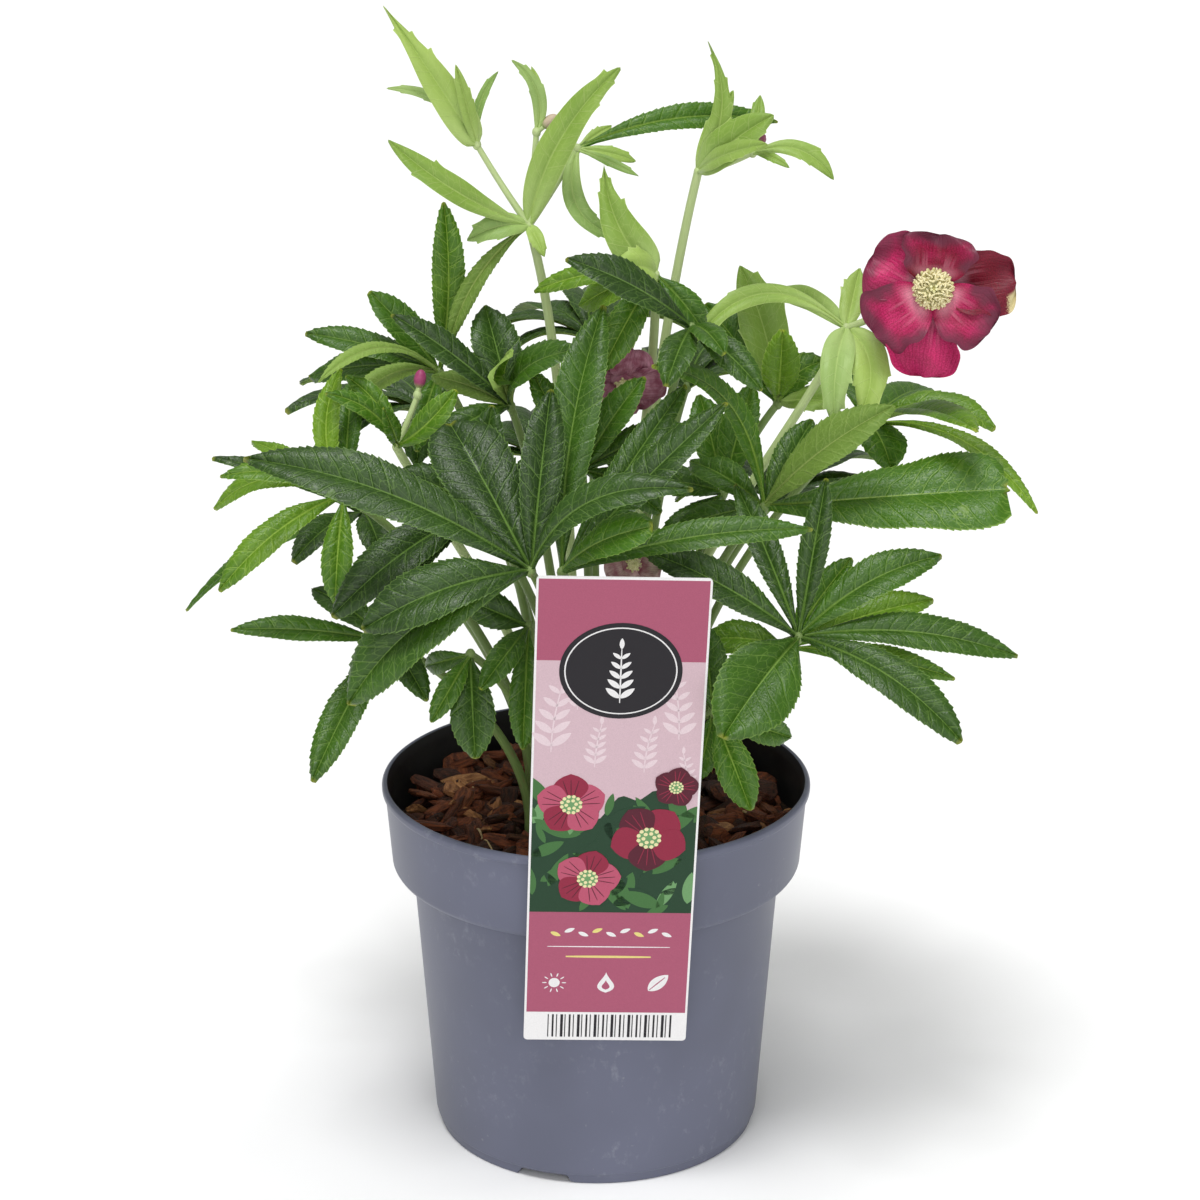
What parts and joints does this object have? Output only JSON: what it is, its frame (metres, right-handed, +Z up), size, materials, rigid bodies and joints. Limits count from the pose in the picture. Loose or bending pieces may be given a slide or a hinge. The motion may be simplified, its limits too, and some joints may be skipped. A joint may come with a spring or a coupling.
{
  "type": "hellebore plant in pot",
  "caption": "Hellebore with a red bloom and dark toothed leaves, growing in a round plastic nursery pot with a tall plain care label hooked on its rim.",
  "frame": {"origin": "the pot's axis at the plane its foot rests on", "axes": "+Z up along the pot's axis, -Y towards the front where the label hangs, +X to the right seen from the front"},
  "size_m": [0.331, 0.2354, 0.45],
  "materials": {
    "pot": "satin blue-grey moulded plastic",
    "bark_mix": "rough reddish brown bark chips",
    "label": "thin printed plastic sheet",
    "leaf": "dark green leathery leaf, slightly glossy",
    "young_leaf": "light green young leaf",
    "stem": "smooth pale green stem and bracts",
    "sepal": "velvety crimson sepals",
    "stamen": "pale cream stamens"
  },
  "bodies": {
    "root": {"pot": "pot", "bark_mix": "bark_mix", "label": "label", "bloom_front_sepals": "sepal", "bloom_front_stamens": "stamen", "bloom_hidden_sepals": "sepal", "bloom_hidden_stamens": "stamen", "bloom_faded_sepals": "sepal", "bloom_faded_stamens": "stamen", "leaf_front": "leaf", "leaf_centre": "leaf", "leaf_right": "leaf", "leaf_torn": "leaf", "leaf_upper_right": "leaf", "leaf_far_right": "leaf", "leaf_low_right": "leaf", "leaf_over_rim": "leaf", "leaf_top_dark": "leaf", "leaf_left_top": "leaf", "leaf_left_centre": "leaf", "leaf_inner_left": "leaf", "leaf_inner_right": "leaf", "leaf_inner_far": "leaf", "leaf_far_left": "young_leaf", "leaf_side_left": "leaf", "leaf_low_left": "leaf", "leaf_small_left": "leaf", "leaf_low_centre": "leaf", "stem_top_left": "stem", "stem_centre": "stem", "stem_top_right": "stem", "stem_of_bloom": "stem", "stem_low": "stem", "stem_left": "stem", "leaf_back_left": "leaf", "leaf_back": "leaf", "leaf_back_right": "leaf", "leaf_back_low": "leaf", "leaf_middle": "leaf"}
  },
  "joints": []
}
